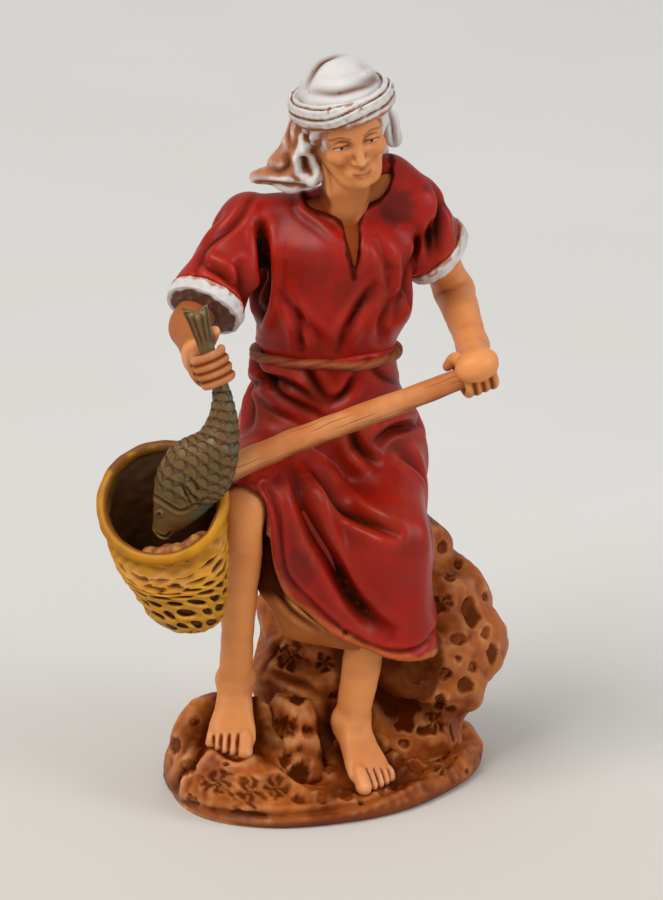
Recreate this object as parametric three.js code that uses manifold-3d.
// Fisherman figurine for a crib scene: a seated man in a belted tunic and head cloth,
// who lowers a fish into the landing net that he holds across his lap.
// It is an assembly of moulded, painted pieces that plug into each other and are glued.
// Millimetres. The figure faces -Y, its right hand is on the -X side, and +Z is up.
// The origin is on the flat underside of the ground rock.
import * as THREE from "three";
import { LoftGeometry } from "three/addons/geometries/LoftGeometry.js";
import { mergeVertices } from "three/addons/utils/BufferGeometryUtils.js";
import Module from "manifold-3d";

// Driving dimensions.
const FIT = 0.3; // glue clearance between two pieces that touch

// Ground rock: an oval slab that lies turned on the shelf, with a step under the right foot.
const GROUND_LENGTH = 43;
const GROUND_WIDTH = 34.5;
const GROUND_TURN = 35; // degrees
const GROUND_CENTRE = [1, 1.5];
const GROUND_LOW = 3.1; // height under the toes of the left foot
const GROUND_RIM = 1.7; // height of the worn upper edge
const STEP_HEIGHT = 8.2; // height of the step under the toes of the right foot
const STEP_SLOPE = 0.76; // how steeply the step climbs to the right heel
const STEP_FRONT = -12;
const STEP_BACK = -5.5;
const STEP_CENTRE = [-10.5, -8.6];
const STEP_RADIUS = 9.6;
const SWELL_HEIGHT = 4.6; // the rock also rises under the left heel
const SWELL_CENTRE = [6.3, -3.4];
const SWELL_RADIUS = 7;
const MOUND_HEIGHT = 10; // a knob of rock stands between the feet
const MOUND_CENTRE = [-2.4, -4];
const MOUND_RADII = [4.6, 6.4];

// Seat rock: the boulder that he sits on.
const SEAT_HEIGHT = 37;
const SEAT_CENTRE = [8.2, 6.5];
const SEAT_HALF_WIDTH = 13.6;
const SEAT_HALF_DEPTH = 11.5;
const SEAT_SINK = 1.2; // depth of the pocket in the ground rock

// Joints of the body, where the limbs bend.
const HIP_R = [-2.4, 5, 44.5];
const HIP_L = [7.6, 5.5, 43.5];
const KNEE_R = [-8.3, -14, 41.6];
const KNEE_L = [10, -9.5, 35.5];
const ANKLE_R = [-9.3, -6.2, 16.3];
const ANKLE_L = [5.3, -5.2, 10.7];
const SHOULDER_R = [-7.4, -1, 74.2];
const SHOULDER_L = [12.6, -0.4, 76.2];
const ELBOW_R = [-14.7, -9.4, 63];
const ELBOW_L = [18, 8.4, 62.4];
const WRIST_R = [-13.4, -16, 61];
const WRIST_L = [20.2, -3, 58.6];
const WAIST = [1.9, 0.6, 56.8];
const RIBS = [2.6, -0.4, 63];
const CHEST = [3.4, -1.6, 69];
const NECK = [4.3, -2.4, 77];
const HEAD = [4.5, -5, 87.8];
const HEAD_TURN = [14, -12, 12]; // degrees: nod, lean to his right, look to his left
const FOOT_WAY_R = [-0.06, -0.8, -0.58]; // where the toes point
const FOOT_WAY_L = [0.4, -0.76, -0.46];

// Flesh.
const THIGH_RADIUS = 3.4;
const KNEE_RADIUS = 2.9;
const CALF_RADIUS = 2.7;
const CALF_BACK = 1.2; // how far the calf stands behind the line from knee to ankle
const SHIN_RADIUS_R = 2.05;
const SHIN_RADIUS_L = 2.4;
const ANKLE_RADIUS = 2.2;
const FOOT_LENGTH = 10.5;
const FOOT_WIDTH = 5.9;
const BIG_TOE_RADIUS = 1.05;
const TOE_RADIUS = 0.74;
const UPPER_ARM_RADIUS = 2.45;
const WRIST_RADIUS = 1.75;
const FINGER_RADIUS = 0.56;
const NECK_RADIUS = 2.8;
const HEAD_HEIGHT = 14.6;

// Cloth.
const TRUNK_HALF_WIDTH = 9.7;
const WAIST_HALF_WIDTH = 9;
const TRUNK_DEPTH_SHARE = 0.72; // depth over width of the trunk
const SLEEVE_RADIUS = 4.3;
const SLEEVE_HEM_R = [-12.4, -7.4, 66];
const SLEEVE_HEM_L = [14.9, 2.8, 69.8];
const SLEEVE_WAY_R = [-0.36, -0.68, -0.6]; // where each sleeve's mouth looks
const SLEEVE_WAY_L = [0.62, 0.34, -0.7];
const CUFF_LENGTH = 1.9;
const CUFF_RISE = 0.35; // how far the cuff stands off the sleeve
const CUFF_WALL = 0.8;
const BELT_HEIGHT = 1.25;
const BELT_THICKNESS = 1.7;
const LAP_CLOTH = 1.2; // how far the cloth stands off the thighs
// The two hems between the knees, as X and Z: the tunic's, and the inner garment's.
const HEM_CURVE = [[-4.9, 37.4], [-4.3, 32], [-3, 29], [0, 26], [3.8, 23.2], [10.5, 19.9], [18, 19.2]];
const UNDER_CURVE = [[-6.2, 28], [-4.4, 23.9], [-1.2, 22], [3.4, 20.9], [9, 20]];
const SCARF_WALL = 0.95;
const BAND_WIDTH = 3.6;
const BAND_THICKNESS = 2.2;
const BAND_SLANT = 14; // degrees that the band drops to the nape
const BAND_RISE = 3.1; // height of the band above the eyes, at the ears

// Tackle.
const POLE_RADIUS = 1.5;
const POLE_END_R = [-10.6, -17.4, 46.9]; // at the hoop
const POLE_END_L = [21.9, -7, 56.8]; // in the left fist
const HOOP_CENTRE = [-18, -19, 43.4];
const HOOP_RADIUS = 7.5;
const HOOP_WIRE = 0.72;
const HOOP_TILT = 40; // degrees that the mouth looks up from the horizontal
const BAG_WALL = 1;
const MESH_AROUND = 13; // diamonds round the bag
const MESH_ROWS = 8;
const MESH_DEPTH = 0.55;
const FISH_THICKNESS = 4.4;
const FISH_GRIP = 0.235; // share of the fish's length, from the tail, where the fist closes
const FISH_STEM = 1; // radius of the tail's root

const SKIN_COLOUR = 0xd9894f;
const TUNIC_COLOUR = 0xa81f1c;
const UNDER_COLOUR = 0xa85f22;
const ROCK_COLOUR = 0xb57441;
const WHITE_COLOUR = 0xe4e2e6;
const NET_COLOUR = 0xc99a1c;
const WOOD_COLOUR = 0xc27a3e;
const FISH_COLOUR = 0x77714f;

const wasm = await Module();
wasm.setup();

// Vector helpers on [x, y, z].
const plus = (a, b, k = 1) => [a[0] + b[0] * k, a[1] + b[1] * k, a[2] + b[2] * k];
const between = (a, b, t) => a.map((v, i) => v + (b[i] - v) * t);
const size = (a) => Math.hypot(...a);
const unit = (a) => a.map((v) => v / size(a));
const direction = (a, b) => unit(plus(b, a, -1));
const dot = (a, b) => a[0] * b[0] + a[1] * b[1] + a[2] * b[2];
const cross = (a, b) => new THREE.Vector3(...a).cross(new THREE.Vector3(...b)).toArray();
const squareTo = (a, axis) => unit(plus(a, axis, -dot(a, axis)));
const vector = (a) => new THREE.Vector3(...a);
const curve = (points) => new THREE.CatmullRomCurve3(points.map(vector), false, "centripetal");
const radians = THREE.MathUtils.degToRad;
const clamp = THREE.MathUtils.clamp;
const smooth = THREE.MathUtils.smoothstep;

// Forms: functions that give the distance from a point to a surface, negative inside.
// A limb is a rounded taper from radius ra at a to rb at b, and squeeze makes it oval.
const limb = (a, b, ra, rb, squeeze = [1, 1, 1]) => {
  const axis = plus(b, a, -1);
  const length2 = Math.max(dot(axis, axis), 1e-9);
  return (p) => {
    const q = plus(p, a, -1);
    const t = clamp(dot(q, axis) / length2, 0, 1);
    const off = plus(q, axis, -t).map((v, i) => v / squeeze[i]);
    return size(off) - (ra + (rb - ra) * t);
  };
};
const ball = (c, r, squeeze) => limb(c, c, r, r, squeeze);
const melt = (reach, forms) => (p) =>
  forms.reduce((d, form) => {
    const e = form(p);
    const h = Math.max(reach - Math.abs(d - e), 0) / reach;
    return Math.min(d, e) - (h * h * reach) / 4;
  }, 1e3);
const hollowed = (form, hollow, reach) => {
  const outside = melt(reach, [(p) => -form(p), hollow]);
  return (p) => -outside(p);
};
const grown = (form, by) => (p) => form(p) - by;

// A solid from any closed geometry, for cutting and joining.
function solid(geometry) {
  const bare = new THREE.BufferGeometry();
  bare.setAttribute("position", geometry.getAttribute("position"));
  bare.setIndex(geometry.index);
  const merged = mergeVertices(bare, 1e-4);
  const corners = merged.index.array;
  const whole = (i) => new Set(corners.slice(i, i + 3)).size === 3;
  const triangles = Array.from(corners).filter((_, i) => whole(i - (i % 3)));
  const mesh = new wasm.Mesh({
    numProp: 3,
    vertProperties: new Float32Array(merged.getAttribute("position").array),
    triVerts: new Uint32Array(triangles),
  });
  return new wasm.Manifold(mesh);
}
const joined = (...solids) => solids.reduce((a, b) => a.add(b));
const cut = (body, ...tools) => tools.reduce((a, b) => a.subtract(b), body);
// A loft ends in two rings that are shrunk to their middle points, or joins up with itself.
const shrunk = (ring) => {
  const middle = new THREE.Vector3();
  ring.forEach((p) => middle.addScaledVector(p, 1 / ring.length));
  return ring.map(() => middle);
};
const loft = (rings) => solid(new LoftGeometry([shrunk(rings[0]), ...rings, shrunk(rings.at(-1))]));
const loopedLoft = (rings) => solid(new LoftGeometry([...rings, rings[0]]));
function block(centre, width, depth, height) {
  return solid(new THREE.BoxGeometry(width, depth, height).translate(...centre));
}

// A skin: rings of points where rays from a spine leave a form.
// The rays of a domed end turn round to the spine's own direction.
function skin(form, spine, options) {
  const { rings, sides, start = 3, end = 3, reach = 16, front = [0, -1, 0], dense = 0, relief } = options;
  const path = curve(spine);
  const stations = [];
  for (let k = start; k > 0; k--) stations.push([0, (-90 * k) / (start + 0.35)]);
  for (let i = 0; i < rings; i++) stations.push([i / (rings - 1), 0]);
  for (let k = 1; k <= end; k++) stations.push([1, (90 * k) / (end + 0.35)]);
  const sections = stations.map(([t, tilt]) => {
    const centre = path.getPoint(t).toArray();
    const along = path.getTangent(t).toArray();
    const ahead = squareTo(front, along);
    const side = cross(along, ahead);
    return Array.from({ length: sides }, (_, j) => {
      const even = (2 * Math.PI * j) / sides;
      const angle = even - dense * Math.sin(even);
      const level = plus(ahead.map((v) => v * Math.cos(angle)), side, Math.sin(angle));
      const ray = plus(level.map((v) => v * Math.cos(radians(tilt))), along, Math.sin(radians(tilt)));
      const found = leaves(form, centre, ray, reach);
      return vector(relief ? plus(found, ray, relief(found, ray)) : found);
    });
  });
  return loft(sections);
}
function leaves(form, centre, ray, reach) {
  const step = reach / 28;
  let inner = reach;
  while (inner > step && form(plus(centre, ray, inner)) > 0) inner -= step;
  let outer = inner + step;
  for (let k = 0; k < 12; k++) {
    const middle = (inner + outer) / 2;
    if (form(plus(centre, ray, middle)) > 0) outer = middle;
    else inner = middle;
  }
  return plus(centre, ray, inner);
}

// A rod with rounded ends and its own radius at each station, for toes, fingers, pole and neck.
function rod(route, radii, sides, steps) {
  const path = curve(route);
  const way = direction(route[0], route[route.length - 1]);
  const front = Math.abs(way[2]) > 0.8 ? [0, -1, 0] : [0, 0, 1];
  const stations = [[0, 0.6, -0.65]];
  for (let i = 0; i < steps; i++) stations.push([i / (steps - 1), 1, 0]);
  stations.push([1, 0.6, 0.65]);
  const sections = stations.map(([t, share, shift]) => {
    const place = t * (radii.length - 1);
    const i = Math.min(Math.floor(place), radii.length - 2);
    const radius = THREE.MathUtils.lerp(radii[i], radii[i + 1], place - i);
    const along = path.getTangent(t).toArray();
    const ahead = squareTo(front, along);
    const side = cross(along, ahead);
    const centre = plus(path.getPoint(t).toArray(), along, shift * radius);
    return Array.from({ length: sides }, (_, j) => {
      const angle = (2 * Math.PI * j) / sides;
      const edge = plus(centre, ahead, radius * share * Math.cos(angle));
      return vector(plus(edge, side, radius * share * Math.sin(angle)));
    });
  });
  return loft(sections);
}

// A fold pressed in the cloth, drawn as the figure is seen from an azimuth and 18 degrees above:
// across is level, and up is measured square to that view. Its lips stand up a little on both
// sides. A negative depth makes a ridge.
const VIEW_TILT = radians(18);
function fold(depth, width, azimuth, ...route) {
  const line = new THREE.SplineCurve(route.map(([x, y]) => new THREE.Vector2(x, y))).getPoints(14);
  const [sine, cosine] = [Math.sin(radians(azimuth)), Math.cos(radians(azimuth))];
  return (p, ray) => {
    const faces = smooth(ray[0] * sine - ray[1] * cosine, -0.35, 0.1);
    if (faces === 0) return 0;
    const across = p[0] * cosine + p[1] * sine;
    const ahead = p[1] * cosine - p[0] * sine;
    const up = p[2] * Math.cos(VIEW_TILT) + ahead * Math.sin(VIEW_TILT);
    let nearest = Infinity;
    let share = 0;
    for (let i = 1; i < line.length; i++) {
      const [a, b] = [line[i - 1], line[i]];
      const [dx, dy] = [b.x - a.x, b.y - a.y];
      const t = clamp(((across - a.x) * dx + (up - a.y) * dy) / (dx * dx + dy * dy), 0, 1);
      const d = Math.hypot(across - a.x - dx * t, up - a.y - dy * t);
      if (d < nearest) [nearest, share] = [d, (i - 1 + t) / (line.length - 1)];
    }
    const fade = Math.sqrt(Math.sin(Math.PI * clamp(share * 0.94 + 0.03, 0, 1)));
    const x = nearest / width;
    return depth * faces * fade * (0.35 * Math.exp(-((x - 1.9) ** 2)) - Math.exp(-x * x));
  };
}
const pressed = (folds) => (p, ray) => folds.reduce((sum, each) => sum + each(p, ray), 0);

// Weathered stone: smooth lumps, from sines of the place.
const stone = ([x, y, z]) =>
  0.42 * Math.sin(0.55 * x + 1.3) * Math.cos(0.48 * y + 0.6 * z) +
  0.3 * Math.sin(0.95 * z + 0.7 * x + 0.4) * Math.cos(0.8 * y - 0.5);

// Ground rock.
function groundEdge(angle) {
  const [a, b] = [GROUND_LENGTH / 2, GROUND_WIDTH / 2];
  const local = angle - radians(GROUND_TURN);
  const wave = 1 + 0.025 * Math.sin(3 * angle + 0.7) + 0.014 * Math.sin(5 * angle);
  return (wave * a * b) / Math.hypot(b * Math.cos(local), a * Math.sin(local));
}
function groundTop(x, y) {
  const away = Math.hypot(x - STEP_CENTRE[0], (y - STEP_CENTRE[1]) * 0.9) / STEP_RADIUS;
  const climb = STEP_SLOPE * (clamp(y, STEP_FRONT, STEP_BACK) - STEP_FRONT);
  const step = (STEP_HEIGHT - GROUND_LOW + climb) * (1 - smooth(away, 0.45, 1.15));
  const near = Math.hypot(x - SWELL_CENTRE[0], y - SWELL_CENTRE[1]) / SWELL_RADIUS;
  const swell = SWELL_HEIGHT * (1 - smooth(near, 0.2, 1.05));
  const [mx, my] = MOUND_CENTRE;
  const beside = Math.hypot((x - mx) / MOUND_RADII[0], (y - my) / MOUND_RADII[1]);
  const mound = MOUND_HEIGHT * (1 - smooth(beside, 0.4, 1.1));
  return GROUND_LOW + Math.max(step, swell, mound) + 1.3 * smooth(y, -2, 10);
}
function groundRock() {
  const sides = 34;
  const ring = (share, heightAt) =>
    Array.from({ length: sides }, (_, j) => {
      const angle = (2 * Math.PI * j) / sides;
      const r = groundEdge(angle) * share;
      const x = GROUND_CENTRE[0] + r * Math.cos(angle);
      const y = GROUND_CENTRE[1] + r * Math.sin(angle);
      return new THREE.Vector3(x, y, heightAt(x, y));
    });
  const wall = [
    ring(0.955, () => 0),
    ring(1, () => 1.1),
    ring(0.995, (x, y) => Math.max(1.9, groundTop(x, y) - GROUND_RIM)),
  ];
  const top = [0.96, 0.84, 0.68, 0.52, 0.36, 0.18].map((share) =>
    ring(share, (x, y) => {
      const worn = GROUND_RIM * 0.3 * smooth(share, 0.84, 1);
      return Math.max(2, groundTop(x, y) - worn + 0.8 * stone([x, y, 0]));
    }),
  );
  return loft([...wall, ...top]);
}

// Seat rock.
const [SEAT_X, SEAT_Y] = SEAT_CENTRE;
const seatForm = melt(5, [
  limb(
    [SEAT_X + 0.4, SEAT_Y + 0.5, 17.5],
    [SEAT_X - 1.2, SEAT_Y + 1, SEAT_HEIGHT - 9],
    SEAT_HALF_WIDTH,
    SEAT_HALF_WIDTH - 3.4,
    [1, SEAT_HALF_DEPTH / SEAT_HALF_WIDTH, 0.8],
  ),
  ball([SEAT_X + 4.2, SEAT_Y + 0.5, 16.2], SEAT_HALF_WIDTH - 1.6, [1, 0.85, 0.9]),
  limb([SEAT_X - 1, SEAT_Y, 4], [SEAT_X - 1, SEAT_Y, 12], 12, 10.5, [1, 0.8, 0.5]),
  limb([SEAT_X - 8.8, SEAT_Y - 3.4, 12], [SEAT_X - 9.4, SEAT_Y - 2, 20], 6.2, 5),
]);
function seatRock(grow = 0) {
  const spine = [
    [SEAT_X, SEAT_Y, GROUND_LOW - SEAT_SINK - grow],
    [SEAT_X + 0.5, SEAT_Y, 14],
    [SEAT_X - 1, SEAT_Y + 0.5, SEAT_HEIGHT - 6],
  ];
  // An overhang runs round the foot of the boulder, in front on its left.
  const overhang = pressed([
    fold(2, 1.5, 0, [7, 11.6], [10.6, 9.4], [15, 8.2], [19.6, 7.4]),
    fold(1.2, 1.2, 0, [-7, 17.4], [-3, 15.2], [1, 14.6], [3, 16.6]),
    fold(0.9, 1.2, 0, [14.6, 33], [16, 28], [15.8, 22], [17.4, 17]),
    fold(1, 1.3, 180, [-16, 22], [-8, 18], [-2, 20], [4, 16]),
    fold(1, 1.3, 90, [-2, 26], [4, 20], [12, 22]),
  ]);
  const rough = (p, ray) => (1.1 * stone(p) + overhang(p, ray)) * smooth(p[2], 4.5, 7);
  return skin(grown(seatForm, grow), spine, {
    rings: 12,
    sides: 26,
    start: 0,
    end: 2,
    reach: 22,
    relief: rough,
  });
}

// Legs, each with the foot in one skin that turns forward at the ankle.
const LEG_R = {
  hip: HIP_R,
  knee: KNEE_R,
  ankle: ANKLE_R,
  toe: unit(FOOT_WAY_R),
  inner: 1,
  shinRadius: SHIN_RADIUS_R,
};
const LEG_L = {
  hip: HIP_L,
  knee: KNEE_L,
  ankle: ANKLE_L,
  toe: unit(FOOT_WAY_L),
  inner: -1,
  shinRadius: SHIN_RADIUS_L,
};
function footFrame({ knee, ankle, toe }) {
  const across = unit(cross(direction(knee, ankle), toe));
  return { across, down: cross(toe, across) };
}
function legForm(leg) {
  const { hip, knee, ankle, toe, shinRadius } = leg;
  const { down } = footFrame(leg);
  const shin = (t) => between(knee, ankle, t);
  const sole = (ahead, drop) => plus(plus(ankle, toe, ahead), down, drop);
  const flat = down.map((v) => 1 - 0.52 * Math.abs(v));
  return melt(1.6, [
    limb(between(hip, knee, 0.45), knee, THIGH_RADIUS, KNEE_RADIUS),
    limb(knee, plus(shin(0.34), toe, -CALF_BACK), KNEE_RADIUS, CALF_RADIUS),
    limb(plus(shin(0.34), toe, -CALF_BACK), shin(0.8), CALF_RADIUS, shinRadius),
    limb(shin(0.8), shin(1.02), shinRadius, ANKLE_RADIUS),
    ball(sole(-1.1, 1.7), 1.9),
    limb(ankle, sole(FOOT_LENGTH * 0.28, 1.1), ANKLE_RADIUS, 2.05),
    limb(sole(FOOT_LENGTH * 0.28, 1.1), sole(FOOT_LENGTH * 0.5, 2), 2.1, 1.6),
    ball(sole(FOOT_LENGTH * 0.5, 2.1), FOOT_WIDTH / 2, flat),
    ball(sole(FOOT_LENGTH * 0.64, 2.5), FOOT_WIDTH / 2 - 0.2, flat.map((v) => v * 0.86)),
  ]);
}
function toes(leg, grow) {
  const { ankle, toe, inner } = leg;
  const { across, down } = footFrame(leg);
  const root = plus(plus(ankle, toe, FOOT_LENGTH * 0.6), down, 2.7);
  return [0, 1, 2, 3, 4].map((i) => {
    const radius = (i === 0 ? BIG_TOE_RADIUS : TOE_RADIUS - 0.03 * i) + grow;
    const place = i === 0 ? 1.7 : 1.25 - 1.02 * i;
    const base = plus(root, across, -place * inner);
    const tip = plus(plus(base, toe, FOOT_LENGTH * (0.29 - 0.026 * i)), down, 0.35);
    return rod([base, tip], [radius, radius * 0.92], i === 0 ? 8 : 6, 2);
  });
}
function legSolid(leg, grow = 0) {
  const { hip, knee, ankle, toe } = leg;
  const { down } = footFrame(leg);
  const spine = [
    between(hip, knee, 0.5),
    between(hip, knee, 0.86),
    between(knee, ankle, 0.1),
    between(knee, ankle, 0.5),
    between(knee, ankle, 0.94),
    plus(plus(ankle, toe, 1.4), down, 1.1),
    plus(plus(ankle, toe, FOOT_LENGTH * 0.66), down, 2.5),
  ];
  const options = { rings: 16, sides: 12, start: 1, end: 2, reach: 6, front: [0.15, -0.7, 0.7] };
  return joined(skin(grown(legForm(leg), grow), spine, options), ...toes(leg, grow));
}

// Tunic skirt: the cloth pulled over the lap and hanging from the left knee.
const lapForm = melt(3.4, [
  ball([2.2, 4.2, 45], 10.4, [1, 0.86, 0.82]),
  limb([2, 1.6, 49], WAIST, 9.4, WAIST_HALF_WIDTH, [1, TRUNK_DEPTH_SHARE, 0.7]),
  limb(HIP_R, between(HIP_R, KNEE_R, 0.9), THIGH_RADIUS + LAP_CLOTH + 1.4, KNEE_RADIUS + LAP_CLOTH),
  limb(HIP_L, KNEE_L, THIGH_RADIUS + LAP_CLOTH + 1.2, KNEE_RADIUS + LAP_CLOTH + 0.6),
  limb([-3.6, -11.2, 40.4], [-1.6, -9.8, 31], 3.4, 3.2),
  limb([0.5, -9.8, 38.5], [3, -8.6, 24], 3.2, 3.6),
  limb([-1.5, -9.6, 39.5], [7, -8.6, 35], 3.4, 3.6),
  limb(KNEE_L, [10.8, -5.4, 17], KNEE_RADIUS + LAP_CLOTH + 0.5, 5.4, [1, 0.86, 1]),
  limb([9, 3, 42], [10.8, -1.5, 24], 4.6, 4.9),
  limb([4, -6, 22], [10, -4, 17], 4, 5),
]);
const skirtFolds = pressed([
  fold(1.5, 1.1, 0, [-2.1, 40.8], [-1, 36.8], [0.6, 31.8], [3.1, 27.5], [5.6, 23.1], [8.1, 20.3], [10, 19]),
  fold(-0.5, 1.3, 0, [0.6, 38.4], [2, 33.6], [4.4, 28.6], [7, 24.6]),
  fold(1.1, 0.9, 0, [-0.6, 40.6], [1.9, 37.5], [5, 34.3], [8.1, 32.5], [10.6, 31.4]),
  fold(0.9, 0.9, 0, [5.2, 44.6], [6.2, 41.8], [8.1, 40.2]),
  fold(-0.7, 1, 0, [7, 43.4], [9.2, 45.4], [13, 46.4]),
  fold(1.2, 1, 0, [-8, 49.4], [-5.6, 50.4], [-2.5, 49.6], [1.3, 47.4]),
  fold(0.9, 0.9, 0, [-0.8, 52.5], [0.6, 50], [2.3, 47.7]),
  fold(0.8, 0.8, 0, [5.6, 50.9], [4.4, 48.7], [2.5, 47.5]),
  fold(0.6, 1, 0, [15.6, 44], [15.4, 36], [16, 28], [15.8, 22]),
  fold(1.1, 1.1, 90, [3, 43], [5, 36], [6.4, 28], [9, 21]),
  fold(0.9, 1, 90, [8, 46], [8.6, 40], [7, 34]),
  fold(0.9, 1, 90, [-3, 40], [-1.4, 33], [1, 26]),
  fold(1, 1.1, -90, [-6, 52], [-2, 47], [3, 43]),
  fold(0.9, 1, -90, [-2, 53], [4, 49], [10, 46.4]),
  fold(0.9, 1, 180, [4, 52], [1, 47], [-6, 43.4]),
  fold(0.9, 1, 180, [-7, 52], [-5, 48], [-1, 45]),
  fold(0.7, 1, 180, [-1, 53], [-2.4, 50], [-2, 46]),
]);
const SKIRT_TOP = WAIST[2] - BELT_HEIGHT / 2;
const TRUNK_FOOT = WAIST[2] + BELT_HEIGHT / 2;
const LAP_SPINE = [
  [WAIST[0], WAIST[1], SKIRT_TOP + 1],
  [2.6, 0.2, 50],
  [4.6, -2.6, 42],
  [5.8, -3.8, 32],
  [6.4, -4.4, 24],
  [6.8, -4.6, 16],
];
// Everything below a hem, as a prism along Y.
function below(curvePoints) {
  const hem = new THREE.SplineCurve(curvePoints.map(([x, z]) => new THREE.Vector2(x, z)));
  const shape = new THREE.Shape(hem.getPoints(16));
  shape.lineTo(40, 18);
  shape.lineTo(40, 0);
  shape.lineTo(-40, 0);
  shape.lineTo(-40, curvePoints[0][1]);
  const prism = new THREE.ExtrudeGeometry(shape, { depth: 60, bevelEnabled: false, steps: 1 });
  return solid(prism.rotateX(Math.PI / 2).translate(0, 30, 0));
}
const waistStub = (grow) => {
  const geometry = new THREE.CylinderGeometry(1, 1, BELT_HEIGHT + 6 + grow * 2, 24);
  geometry.rotateX(Math.PI / 2);
  const half = WAIST_HALF_WIDTH - BELT_THICKNESS + grow;
  geometry.scale(half, half * TRUNK_DEPTH_SHARE, 1);
  geometry.translate(...plus(WAIST, [0.1, 0, 0]));
  return solid(geometry);
};
function tunicSkirt(rooms) {
  const options = { rings: 21, sides: 32, start: 0, end: 0, reach: 26, relief: skirtFolds };
  const above = block([WAIST[0], WAIST[1], SKIRT_TOP + 5], 60, 60, 10);
  const cloth = cut(skin(lapForm, LAP_SPINE, options), above, below(HEM_CURVE));
  return cut(joined(cloth, waistStub(0)), ...rooms);
}
const lapRoom = () =>
  skin(grown(lapForm, FIT + 0.3), LAP_SPINE, { rings: 14, sides: 26, start: 0, end: 0, reach: 26 });

// Under-tunic: the hem of the inner garment, which shows below the red cloth between the legs.
const UNDER_MIDDLE = [-0.8, -8.6, 25];
const underForm = melt(1.5, [
  limb([-4.6, -8.4, 37], [-4.1, -9.4, 30], 1.5, 2, [1, 0.8, 1]),
  limb([-4, -9.6, 29.4], UNDER_MIDDLE, 2.3, 3, [1, 0.8, 1]),
  limb(UNDER_MIDDLE, [5, -7.6, 22.4], 3, 2.6, [1, 0.8, 1]),
]);
function underTunic(rooms) {
  const options = { rings: 12, sides: 14, start: 1, end: 2, reach: 7 };
  const spine = [[-4.6, -8.4, 36.6], [-4, -9.5, 29.6], UNDER_MIDDLE, [4.8, -7.6, 22.6]];
  const cloth = skin(underForm, spine, options);
  const lowered = HEM_CURVE.map(([x, z]) => [x - FIT, z - FIT]);
  return cut(cloth.intersect(below(lowered)), below(UNDER_CURVE), ...rooms);
}

// Tunic body: chest, back and the two sleeves in one moulding.
const ribs = TRUNK_HALF_WIDTH - 0.5;
const trunkForm = melt(3, [
  limb(plus(WAIST, [0.1, -0.1, 2.4]), RIBS, WAIST_HALF_WIDTH - 0.2, ribs, [1, TRUNK_DEPTH_SHARE, 0.6]),
  limb(RIBS, plus(CHEST, [0, 0, 2]), ribs, TRUNK_HALF_WIDTH, [1, TRUNK_DEPTH_SHARE, 0.5]),
  limb(SHOULDER_R, plus(NECK, [-2, 1, -2.6]), 3.4, 3.6),
  limb(SHOULDER_L, plus(NECK, [5.2, 2.6, 1.6]), 3.6, 2.9),
  limb(plus(NECK, [-0.5, 2, -2]), plus(NECK, [5.2, 2.6, 1.6]), 3.4, 2.9),
]);
const trunkFolds = pressed([
  fold(1.5, 0.9, 0, [-6, 69.4], [-5.6, 65.6], [-5.6, 61.3], [-6.4, 58.2], [-7.4, 56.6]),
  fold(0.8, 0.9, 0, [8, 62], [5.6, 58.4], [3.4, 54.4]),
  fold(0.6, 0.8, 0, [10.6, 61], [9.4, 58.6], [8.6, 55.6]),
  fold(0.6, 0.8, 0, [-1.6, 58.6], [-1.2, 56], [-0.8, 53.6]),
  fold(0.6, 0.8, 0, [12.2, 66], [11.6, 62], [10.4, 58]),
  fold(0.9, 1, 180, [-3, 72], [1, 67], [2, 60]),
  fold(0.9, 1, 180, [4, 70], [2.6, 64], [3.4, 57]),
  fold(0.8, 0.9, 180, [-9, 66], [-6, 61], [-5, 56]),
  fold(0.9, 1, 90, [-1, 70], [-2.4, 64], [-2, 57]),
  fold(0.9, 1, -90, [2.6, 68], [2, 62], [3, 57]),
]);
const ARM_R = {
  shoulder: SHOULDER_R,
  elbow: ELBOW_R,
  wrist: WRIST_R,
  hem: SLEEVE_HEM_R,
  way: unit(SLEEVE_WAY_R),
  radius: SLEEVE_RADIUS,
};
const ARM_L = {
  shoulder: SHOULDER_L,
  elbow: ELBOW_L,
  wrist: WRIST_L,
  hem: SLEEVE_HEM_L,
  way: unit(SLEEVE_WAY_L),
  radius: SLEEVE_RADIUS - 0.2,
};
const sleeveForm = ({ shoulder, hem, way, radius }) =>
  melt(1.5, [limb(shoulder, hem, 3.7, radius), limb(hem, plus(hem, way, 6), radius, radius)]);
function sleeveSolid(arm) {
  const { shoulder, hem, way } = arm;
  const spine = [shoulder, plus(hem, way, -1.6), hem];
  const relief = pressed([
    fold(0.7, 0.7, 0, [-8.7, 64.6], [-7.9, 61.5], [-7.5, 58.8]),
    fold(0.7, 0.7, 0, [-13.2, 65], [-10.2, 63.2], [-8.6, 61.6]),
    fold(0.6, 0.7, 0, [15.1, 70], [14.9, 68], [14.7, 65.6]),
    fold(0.6, 0.7, 0, [16.6, 73.4], [16.3, 70], [15.8, 66.4]),
  ]);
  return skin(sleeveForm(arm), spine, { rings: 5, sides: 16, start: 3, end: 0, reach: 8, relief });
}
function trunkSolid(grow = 0) {
  const spine = [
    [WAIST[0], WAIST[1], TRUNK_FOOT - 1],
    plus(RIBS, [0, -0.2, 0]),
    plus(CHEST, [0, 0.3, 0]),
    plus(NECK, [0, 0.6, -3]),
  ];
  const bust = skin(grown(trunkForm, grow), spine, {
    rings: grow ? 8 : 12,
    sides: grow ? 20 : 30,
    start: 0,
    end: 3,
    reach: 22,
    relief: grow ? undefined : trunkFolds,
  });
  return grow ? bust : cut(bust, block([WAIST[0], WAIST[1], TRUNK_FOOT - 5], 60, 60, 10));
}

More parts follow.
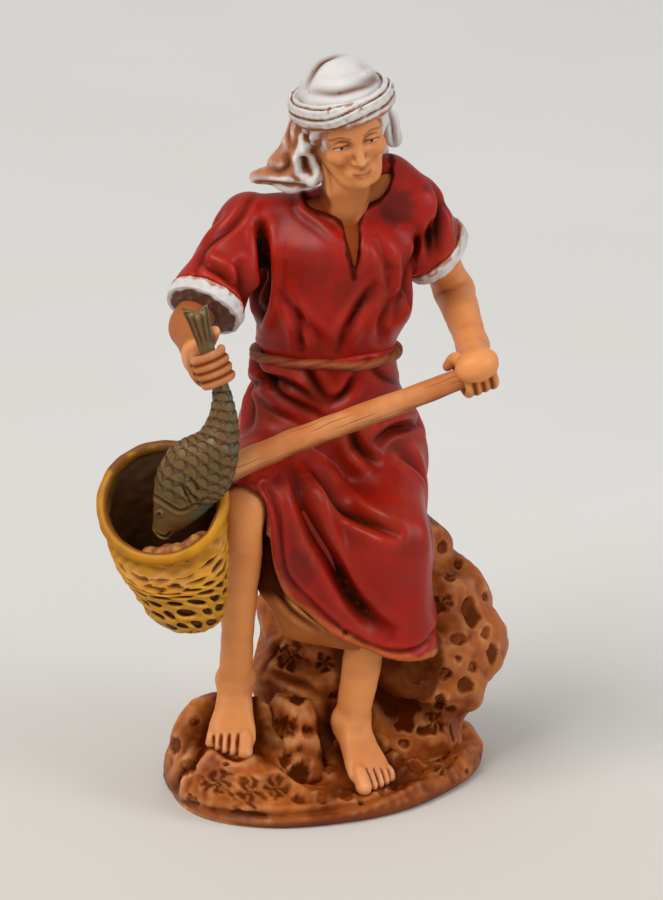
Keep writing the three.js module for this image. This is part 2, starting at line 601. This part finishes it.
// The neck opening of the tunic, with its slit, as a prism cut in from the front.
const NECKLINE = [
  [5.5, 68.8],
  [6, 73.2],
  [6.3, 75.8],
  [7.2, 76.8],
  [8.5, 77.4],
  [9.8, 79.4],
  [10, 82.5],
  [8, 84.4],
  [4.2, 84.6],
  [0.2, 83.4],
  [-1.2, 81],
  [-1, 78.6],
  [-0.3, 77],
  [1.5, 76.2],
  [3.6, 75.6],
  [4.6, 73.2],
];
const NECKLINE_MIDDLE = [4.6, 78];
function neckline(grow) {
  const middle = new THREE.Vector2(...NECKLINE_MIDDLE);
  const outline = NECKLINE.map(([x, z]) => {
    const away = new THREE.Vector2(x, z).sub(middle);
    return middle.clone().addScaledVector(away, 1 + grow / away.length());
  });
  const shape = new THREE.Shape(new THREE.SplineCurve([...outline, outline[0]]).getPoints(26));
  const prism = new THREE.ExtrudeGeometry(shape, { depth: 16 + grow, bevelEnabled: false, steps: 1 });
  prism.rotateX(Math.PI / 2).translate(0, NECK[1] + 0.6 + grow, 0);
  return solid(prism);
}

// Cuffs: the white borders of the sleeves.
function cuff(arm) {
  const { hem, way } = arm;
  const tube = (rise, from, to) =>
    skin(grown(sleeveForm(arm), rise), [plus(hem, way, from), plus(hem, way, to)], {
      rings: 2,
      sides: 20,
      start: 0,
      end: 0,
      reach: 8,
    });
  const band = tube(CUFF_RISE, FIT, CUFF_LENGTH);
  return cut(band, tube(CUFF_RISE - CUFF_WALL, FIT + 0.5, CUFF_LENGTH + 1), armSolid(arm, FIT));
}

// Arms, from the peg in the sleeve to the fist.
function armForm({ shoulder, elbow, wrist }) {
  const r = UPPER_ARM_RADIUS;
  return melt(1.4, [
    limb(between(shoulder, elbow, 0.5), elbow, r, r - 0.15),
    limb(elbow, between(elbow, wrist, 0.4), r - 0.2, r - 0.1),
    limb(between(elbow, wrist, 0.4), wrist, r - 0.1, WRIST_RADIUS),
  ]);
}
function armSolid(arm, grow = 0) {
  const { shoulder, elbow, wrist } = arm;
  const spine = [
    between(shoulder, elbow, 0.32),
    between(shoulder, elbow, 0.85),
    between(elbow, wrist, 0.2),
    wrist,
  ];
  const options = { rings: 9, sides: 12, start: 0, end: 1, reach: 6, front: [0, -0.2, 1] };
  return skin(grown(armForm(arm), grow), spine, options);
}

// A fist closed round a bar: the back of the hand, four fingers and a thumb, bent round its axis.
// It takes the place, axis and radius of the bar, the way from the bar to the back of the hand,
// the wrist, the spacing of the fingers, the two ends of the thumb along the bar and the palm's
// radius.
function fist({ centre, axis, back, radius, wrist, spacing, thumb, thick }) {
  const b = squareTo(back, axis);
  const c = cross(axis, b);
  const bent = (angle, r, along) => {
    const out = plus(plus(centre, axis, along), b, r * Math.cos(radians(angle)));
    return plus(out, c, r * Math.sin(radians(angle)));
  };
  const hold = radius + FIT + FINGER_RADIUS;
  const palm = [-1.1, 1.1].map((k) => bent(0, hold + 0.3, k * spacing));
  const hand = rod([wrist, between(...palm, 0.5)], [WRIST_RADIUS * 0.95, thick], 10, 3);
  const knuckles = rod(palm, [thick * 0.8, thick * 0.85], 8, 2);
  const fingers = [-1.5, -0.5, 0.5, 1.5].map((place, i) => {
    const slim = FINGER_RADIUS * (i === 0 ? 0.9 : 1);
    const route = [15, 75, 135, 195, 240].map((angle) => bent(angle, hold, place * spacing));
    return rod(route, [slim, slim * 1.08, slim, slim * 0.95, slim * 0.85], 6, 5);
  });
  const thumbRoute = [
    bent(-20, hold + 0.3, thumb[0]),
    bent(-65, hold + 0.4, (thumb[0] + thumb[1]) / 2),
    bent(-105, hold + 0.3, thumb[1]),
  ];
  return joined(hand, knuckles, ...fingers, rod(thumbRoute, [0.85, 0.8, 0.62], 7, 4));
}

// Fish, head down, held by the root of its tail.
const FISH_SPINE = [
  [-13.75, -19.5, 68.1],
  [-12.3, -19.6, 62.6],
  [-10.6, -20, 57.6],
  [-11, -20.6, 52.3],
  [-14.6, -20.9, 46.7],
  [-16.9, -19.5, 41.8],
  [-18.1, -18.8, 39.4],
];
const FISH_WIDTHS = [3.4, 1.9, 2.2, 4.6, 8.8, 6.8, 2.6];
const fishPath = curve(FISH_SPINE);
const fishWidth = curve(FISH_WIDTHS.map((w, i) => [i, w, 0]));
function fish() {
  const rings = 20;
  const sections = Array.from({ length: rings }, (_, i) => {
    const t = i / (rings - 1);
    const along = fishPath.getTangent(t).toArray();
    const ahead = squareTo([0, -1, 0], along);
    const side = cross(along, ahead);
    const half = Math.max(fishWidth.getPoint(t).y / 2, 0.5);
    const body = Math.sin(Math.PI * clamp((t - 0.12) / 0.9, 0, 1)) ** 1.4;
    const thin = 0.45 + 0.2 * t;
    const deep = Math.min(half, thin + (FISH_THICKNESS / 2 - 0.6) * body + 0.65 * smooth(t, 0.12, 0.3));
    return Array.from({ length: 12 }, (_, j) => {
      const angle = (2 * Math.PI * j) / 12;
      const edge = plus(fishPath.getPoint(t).toArray(), ahead, deep * Math.cos(angle));
      return vector(plus(edge, side, half * Math.sin(angle)));
    });
  });
  return loft(sections);
}

// Landing net: pole, hoop and knotted bag.
const hoopNormal = unit([-0.12, -Math.cos(radians(HOOP_TILT)), Math.sin(radians(HOOP_TILT))]);
const hoopAcross = squareTo([1, 0, 0], hoopNormal);
const hoopUp = cross(hoopNormal, hoopAcross);
function hoopRing(wire) {
  const geometry = new THREE.TorusGeometry(HOOP_RADIUS, wire, 7, 28);
  const frame = new THREE.Matrix4().makeBasis(vector(hoopAcross), vector(hoopUp), vector(hoopNormal));
  geometry.applyMatrix4(frame.setPosition(...HOOP_CENTRE));
  return solid(geometry);
}
function netPole(grow = 0) {
  const route = [0, 0.33, 0.66, 1].map((t) => between(POLE_END_R, POLE_END_L, t));
  route[1][2] += 0.35;
  route[2][2] += 0.15;
  const radii = [1.05, 1, 1.02, 0.95, 0.86].map((share) => share * POLE_RADIUS + grow);
  return rod(route, radii, 12, 8);
}
// The bag hangs from the hoop, swings in under the wrist and closes in a blunt end.
const BAG_AXIS = [
  plus(HOOP_CENTRE, hoopNormal, -HOOP_WIRE - FIT),
  [-17.2, -19.2, 38],
  [-15.8, -19, 32],
  [-14.6, -18.6, 26.6],
];
const bagRadius = (s) => (HOOP_RADIUS + 0.1) * (1 - 0.1 * s - 0.42 * s ** 2.2);
function bagBody(rings, sides, inset, hollow) {
  const path = curve(BAG_AXIS);
  const end = 1 - inset / 17; // the share of the axis that this body fills
  const ring = (share, lift, i) => {
    const s = share * end;
    const turned = smooth(s, 0, 0.75);
    const up = unit(between(hoopUp, [0, 1, 0], turned));
    const across = unit(between(hoopAcross, [1, 0, 0], turned));
    const centre = plus(path.getPoint(s).toArray(), hoopNormal, lift);
    const blunt = share > 0.84 ? Math.sqrt(Math.max(0.1, 1 - ((share - 0.84) / 0.17) ** 2)) : 1;
    return Array.from({ length: sides }, (_, j) => {
      const angle = (-2 * Math.PI * (j + i / 2)) / sides;
      const out = plus(across.map((v) => v * Math.cos(angle)), up, Math.sin(angle));
      const level = unit([out[0], out[1], 0]);
      const edge = plus(centre, out, bagRadius(s) * blunt);
      return vector(plus(edge, level, -inset * blunt - hollow(i, j)));
    });
  };
  const mouth = inset > 0 ? [ring(0, 3, 0)] : [];
  const body = Array.from({ length: rings }, (_, i) => ring(i / (rings - 1), 0, i));
  return loft([...mouth, ...body]);
}
// The knotted cords cross at every second point of every second ring, and the point between
// two knots is the bottom of a diamond. Each ring is half a step round from the last one.
const diamond = (i, j) => (i > 0 && i % 2 === 0 && (j + i / 2) % 2 === 1 ? MESH_DEPTH : 0);
function netBag() {
  const outside = bagBody(MESH_ROWS * 2 + 1, MESH_AROUND * 2, 0, diamond);
  return cut(outside, bagBody(MESH_ROWS + 1, 16, BAG_WALL, () => 0));
}

// Head, drawn 15.6 high with the origin between the eyes, the face along -Y and the chin down.
const HEAD_DRAWN = 15.6;
const BROW = 1.15;
const FACE_THIRD = 4.45; // brow to nose, and nose to chin
const NOSE = BROW - FACE_THIRD;
const MOUTH = NOSE - FACE_THIRD / 3;
const CHIN = NOSE - FACE_THIRD;
const EYE_SPACE = 2.1; // from the middle of the face to an eye
const SKULL = [5, 6.3, 5.9]; // half width, half depth and half height
const both = (make) => [make(1), make(-1)];
const headForm = melt(0.7, [
  melt(2, [
    ball([0, 0.6, 1.7], SKULL[1], [SKULL[0] / SKULL[1], 1, SKULL[2] / SKULL[1]]),
    limb([0, -1.9, 0.5], [0, -2.9, CHIN + 2.6], 4.3, 2.5),
    ...both((k) => limb([3.3 * k, 0.5, -3], [1.4 * k, -3.2, CHIN + 1.5], 1.5, 1.3)),
  ]),
  ...both((k) => limb([3 * k, -4.25, BROW - 0.15], [0.8 * k, -5.2, BROW], 0.75, 0.75)),
  ...both((k) => ball([2.6 * k, -4.1, -1.75], 1.5)),
  limb([0, -5.45, BROW - 0.6], [0, -6.85, NOSE + 0.75], 0.42, 0.72),
  ...both((k) => ball([0.72 * k, -6.05, NOSE + 0.55], 0.5)),
  limb([-1.1, -5.35, MOUTH + 0.28], [1.1, -5.35, MOUTH + 0.28], 0.36, 0.36),
  limb([-0.9, -5.25, MOUTH - 0.4], [0.9, -5.25, MOUTH - 0.4], 0.42, 0.42),
  ball([0, -4.4, CHIN + 1.25], 1.25),
]);
const faceForm = melt(0.4, [
  hollowed(headForm, melt(0.3, both((k) => ball([EYE_SPACE * k, -6.1, 0], 1.15))), 0.5),
  ...both((k) => ball([EYE_SPACE * k, -4.5, -0.1], 1.05)),
]);
const headScale = HEAD_HEIGHT / HEAD_DRAWN;
const headGroup = new THREE.Group();
headGroup.position.set(...HEAD);
headGroup.rotation.set(...HEAD_TURN.map(radians), "ZYX");
headGroup.updateMatrix();
const headMatrix = headGroup.matrix.clone().scale(new THREE.Vector3(headScale, headScale, headScale));
const headInverse = headMatrix.clone().invert();
const inHead = (p) => vector(p).applyMatrix4(headMatrix).toArray();
const onHead = (form) => (p) => form(vector(p).applyMatrix4(headInverse).toArray()) * headScale;
const headFront = direction(inHead([0, 0, 0]), inHead([0, -1, 0]));
const headSkin = (form, spine, options) =>
  skin(form, spine.map(inHead), { front: headFront, ...options });
const face = onHead(faceForm);
function headSolid(grow = 0) {
  const skull = headSkin(grown(face, grow), [[0, -1.4, -5.6], [0, -0.6, -2], [0, -0.2, 2.4]], {
    rings: grow ? 8 : 14,
    sides: grow ? 20 : 28,
    start: 2,
    end: grow ? 2 : 3,
    reach: 9,
    dense: grow ? 0 : 0.4,
  });
  const nape = inHead([0, 1, -2.5]);
  const route = [plus(NECK, [0, 0.4, -5]), plus(NECK, [0, 0, -0.5]), between(NECK, nape, 0.6), nape];
  const radii = [0.75, 1.1, 1, 1].map((share) => NECK_RADIUS * share + grow);
  return joined(skull, rod(route, radii, 14, 5));
}
// The skin that shows in the neck opening, just below the cloth.
const chestSkin = () => neckline(0).intersect(trunkSolid(-0.6));

// Head cloth: a cap over the skull that falls to the collar behind, with two loose ends.
const clothForm = onHead(
  melt(1.6, [
    ball([0, 0.7, 2.1], SKULL[1] + SCARF_WALL, [
      (SKULL[0] + SCARF_WALL) / (SKULL[1] + SCARF_WALL),
      1,
      (SKULL[2] + SCARF_WALL) / (SKULL[1] + SCARF_WALL),
    ]),
    limb([0, 3, 0], [0.6, 5.4, -8.6], 4.6, 4.2, [1.25, 0.8, 1]),
  ]),
);
const hood = (grow) => {
  const options = { rings: grow ? 7 : 9, sides: 24, start: 1, end: 3, reach: 13 };
  return headSkin(grown(clothForm, grow), [[-0.3, 3.4, -8.4], [0, 2, -2], [0, 0.8, 3]], options);
};
// A loose end of the cloth that comes out under the band: its route, widths and share of thickness.
function scarfEnd(route, widths, share) {
  const ends = route.map(inHead);
  const forms = [1, 2].map((i) =>
    limb(ends[i - 1], ends[i], widths[i - 1] / 2, widths[i] / 2, [1, share, 1]),
  );
  return skin(melt(1, forms), ends, { rings: 5, sides: 9, start: 1, end: 2, reach: 6 });
}
// The long end spreads on the right shoulder.
const FLAP_SPINE = [[-0.4, -4.4, 89.4], [-0.8, -5, 85], [-2, -4, 81.2]];
const flapForm = melt(1.2, [
  limb(FLAP_SPINE[0], FLAP_SPINE[1], 1.8, 2.3, [1, 0.6, 1]),
  limb(FLAP_SPINE[1], plus(FLAP_SPINE[2], [0, -0.2, 0.7]), 2.3, 3.1, [1, 0.5, 1]),
  limb([-6.4, -2.8, 80.3], [0.5, -4.9, 80.9], 1.1, 1.3),
]);
const flap = (grow) =>
  skin(grown(flapForm, grow), FLAP_SPINE, { rings: 6, sides: 12, start: 2, end: 2, reach: 8 });
function headCloth(rooms) {
  const opening = onHead(limb([0, -8, 1.2], [0, -9, -11], 5.2, 6, [0.9, 1, 1]));
  const options = { rings: 4, sides: 18, start: 2, end: 1, reach: 8 };
  const cap = cut(hood(0), headSkin(opening, [[0, -8, 1], [0, -9, -10]], options));
  const leftEnd = scarfEnd([[5, 0.4, 2], [5.7, 1, -2.4], [6.1, 1.6, -5.4]], [2, 2.4, 2], 0.8);
  return cut(joined(cap, flap(0), leftEnd), ...rooms);
}

// Head band: three rolls of cloth twisted together round the cap.
function headBand(rooms) {
  const steps = 28;
  const sides = 8;
  const [half, depth] = [SKULL[0] + SCARF_WALL + 0.2, SKULL[1] + SCARF_WALL];
  const sections = Array.from({ length: steps }, (_, i) => {
    const a = (2 * Math.PI * i) / steps;
    const out = [Math.sin(a), -Math.cos(a), 0];
    const rise = BAND_RISE + Math.tan(radians(BAND_SLANT)) * depth * Math.cos(a);
    const centre = [half * out[0], 0.7 + depth * out[1], rise];
    return Array.from({ length: sides }, (_, j) => {
      const b = (2 * Math.PI * j) / sides;
      const roll = 1 + 0.15 * Math.cos(3 * b + 6 * a);
      const edge = plus(centre, out, (BAND_THICKNESS / 2) * roll * Math.cos(b));
      return vector(inHead(plus(edge, [0, 0, -1], (BAND_WIDTH / 2) * roll * Math.sin(b))));
    });
  });
  return cut(loopedLoft(sections), hood(FIT), flap(FIT + 0.1), ...rooms);
}

// Belt: a cord tied round the waist, in the groove between the tunic's body and skirt.
function belt() {
  const steps = 26;
  const sides = 6;
  const reach = WAIST_HALF_WIDTH - BELT_THICKNESS / 2 + FIT + 0.15;
  const sections = Array.from({ length: steps }, (_, i) => {
    const a = (2 * Math.PI * i) / steps;
    const out = [Math.cos(a), Math.sin(a) * TRUNK_DEPTH_SHARE, 0];
    const centre = plus(plus(WAIST, [0.1, 0, 0]), out, reach);
    return Array.from({ length: sides }, (_, j) => {
      const b = (2 * Math.PI * j) / sides;
      const edge = plus(centre, unit(out), (BELT_THICKNESS / 2) * Math.cos(b) * 0.95);
      return vector(plus(edge, [0, 0, -1], (BELT_HEIGHT / 2 - 0.02) * Math.sin(b)));
    });
  });
  return cut(loopedLoft(sections), waistStub(FIT));
}

// Assembly. A harder or inner piece keeps its shape, and the cloth round it is cut to fit.
// Each mesh hangs at its own anchor, where the piece turns or plugs in. A crumb that a cut
// leaves loose is dropped.
const figure = new THREE.Group();
figure.add(headGroup);
function piece(name, body, anchor, color, roughness = 0.5, parent = figure) {
  const [largest] = body.decompose().sort((a, b) => b.volume() - a.volume());
  const mesh = largest.getMesh();
  const geometry = new THREE.BufferGeometry();
  geometry.setAttribute("position", new THREE.BufferAttribute(new Float32Array(mesh.vertProperties), 3));
  geometry.setIndex(new THREE.BufferAttribute(new Uint32Array(mesh.triVerts), 1));
  const paint = new THREE.MeshStandardMaterial({ color, roughness, metalness: 0 });
  const part = new THREE.Mesh(geometry, paint);
  part.name = name;
  parent.add(part);
  parent.updateWorldMatrix(true, false);
  const local = parent.matrixWorld.clone().invert();
  part.position.copy(vector(anchor).applyMatrix4(local));
  geometry.applyMatrix4(local).translate(...part.position.clone().negate().toArray());
  geometry.computeVertexNormals();
}

const legRooms = [legSolid(LEG_R, FIT), legSolid(LEG_L, FIT)];
const armRooms = [armSolid(ARM_R, FIT), armSolid(ARM_L, FIT)];
const poleRoom = netPole(FIT);
const headRoom = headSolid(FIT + 0.1);

piece("ground_rock", cut(groundRock(), seatRock(FIT), ...legRooms), [0, 0, 0], ROCK_COLOUR, 0.6);
piece("seat_rock", cut(seatRock(), lapRoom(), ...legRooms), [...SEAT_CENTRE, GROUND_LOW], ROCK_COLOUR, 0.6);
piece("right_leg", legSolid(LEG_R), KNEE_R, SKIN_COLOUR);
piece("left_leg", legSolid(LEG_L), KNEE_L, SKIN_COLOUR);
piece("tunic_skirt", tunicSkirt([...legRooms, poleRoom]), WAIST, TUNIC_COLOUR, 0.4);
piece("under_tunic", underTunic(legRooms), UNDER_MIDDLE, UNDER_COLOUR);
piece("belt", belt(), WAIST, UNDER_COLOUR);

const trunk = joined(trunkSolid(), sleeveSolid(ARM_R), sleeveSolid(ARM_L));
const trunkRooms = [waistStub(FIT), headRoom, neckline(FIT), ...armRooms];
piece("tunic_body", cut(trunk, ...trunkRooms), WAIST, TUNIC_COLOUR, 0.4);
piece("right_cuff", cuff(ARM_R), SLEEVE_HEM_R, WHITE_COLOUR);
piece("left_cuff", cuff(ARM_L), SLEEVE_HEM_L, WHITE_COLOUR);

const rightFist = fist({
  centre: fishPath.getPoint(FISH_GRIP).toArray(),
  axis: fishPath.getTangent(FISH_GRIP).negate().toArray(),
  back: [-0.75, 0.6, 0],
  radius: FISH_STEM,
  wrist: WRIST_R,
  spacing: 1.12,
  thumb: [1.6, 3.8],
  thick: 1.4,
});
const leftFist = fist({
  centre: between(POLE_END_R, POLE_END_L, 0.955),
  axis: direction(POLE_END_R, POLE_END_L),
  back: [0.3, -0.7, 0.7],
  radius: POLE_RADIUS * 0.88,
  wrist: WRIST_L,
  spacing: 1.1,
  thumb: [-1, -2.6],
  thick: 1.95,
});
piece("right_arm", joined(armSolid(ARM_R), rightFist), ELBOW_R, SKIN_COLOUR);
piece("left_arm", cut(joined(armSolid(ARM_L), leftFist), poleRoom), ELBOW_L, SKIN_COLOUR);

const aroundHead = [headRoom, trunkSolid(FIT)];
piece("head", joined(headSolid(), chestSkin()), NECK, SKIN_COLOUR, 0.5, headGroup);
piece("head_cloth", headCloth(aroundHead), HEAD, WHITE_COLOUR, 0.6, headGroup);
piece("head_band", headBand(aroundHead), HEAD, WHITE_COLOUR, 0.6, headGroup);

piece("net_pole", netPole(), POLE_END_L, WOOD_COLOUR);
piece("net_hoop", cut(hoopRing(HOOP_WIRE), poleRoom), HOOP_CENTRE, NET_COLOUR);
piece("net_bag", netBag(), HOOP_CENTRE, NET_COLOUR);
piece("fish", cut(fish(), hoopRing(HOOP_WIRE + FIT), poleRoom), FISH_SPINE[0], FISH_COLOUR);

export default figure;
